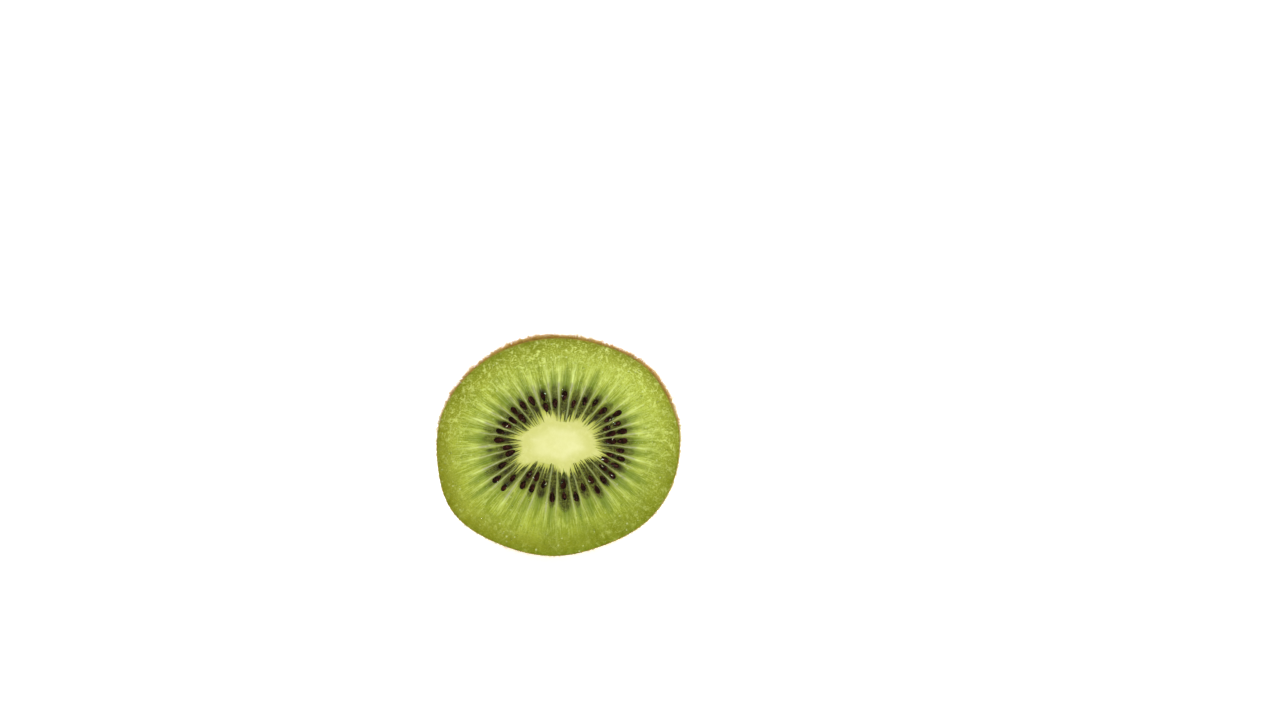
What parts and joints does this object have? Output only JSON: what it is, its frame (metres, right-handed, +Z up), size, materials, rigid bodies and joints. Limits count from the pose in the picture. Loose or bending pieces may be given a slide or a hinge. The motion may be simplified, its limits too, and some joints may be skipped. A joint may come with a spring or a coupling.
{
  "type": "kiwi fruit half",
  "caption": "Kiwi fruit cut across the middle, lying on its flank with the green cut face and dark seeds forward and up, and a brown hairy skin behind.",
  "frame": {"origin": "on the surface the half lies on, under the middle of its box", "axes": "+Z up, +X across the cut face to the right, the cut face looks towards -Y and up"},
  "size_m": [0.0514, 0.0444, 0.0468],
  "materials": {
    "flesh": "moist, slightly see-through green flesh with a pale yellow core",
    "skin": "matte olive brown peel with darker pores",
    "hair": "fine golden brown hairs",
    "seed": "wet, nearly black brown seed coat",
    "stem": "dry, rough dark brown scar"
  },
  "bodies": {
    "root": {"kiwi_half": "flesh"}
  },
  "joints": []
}
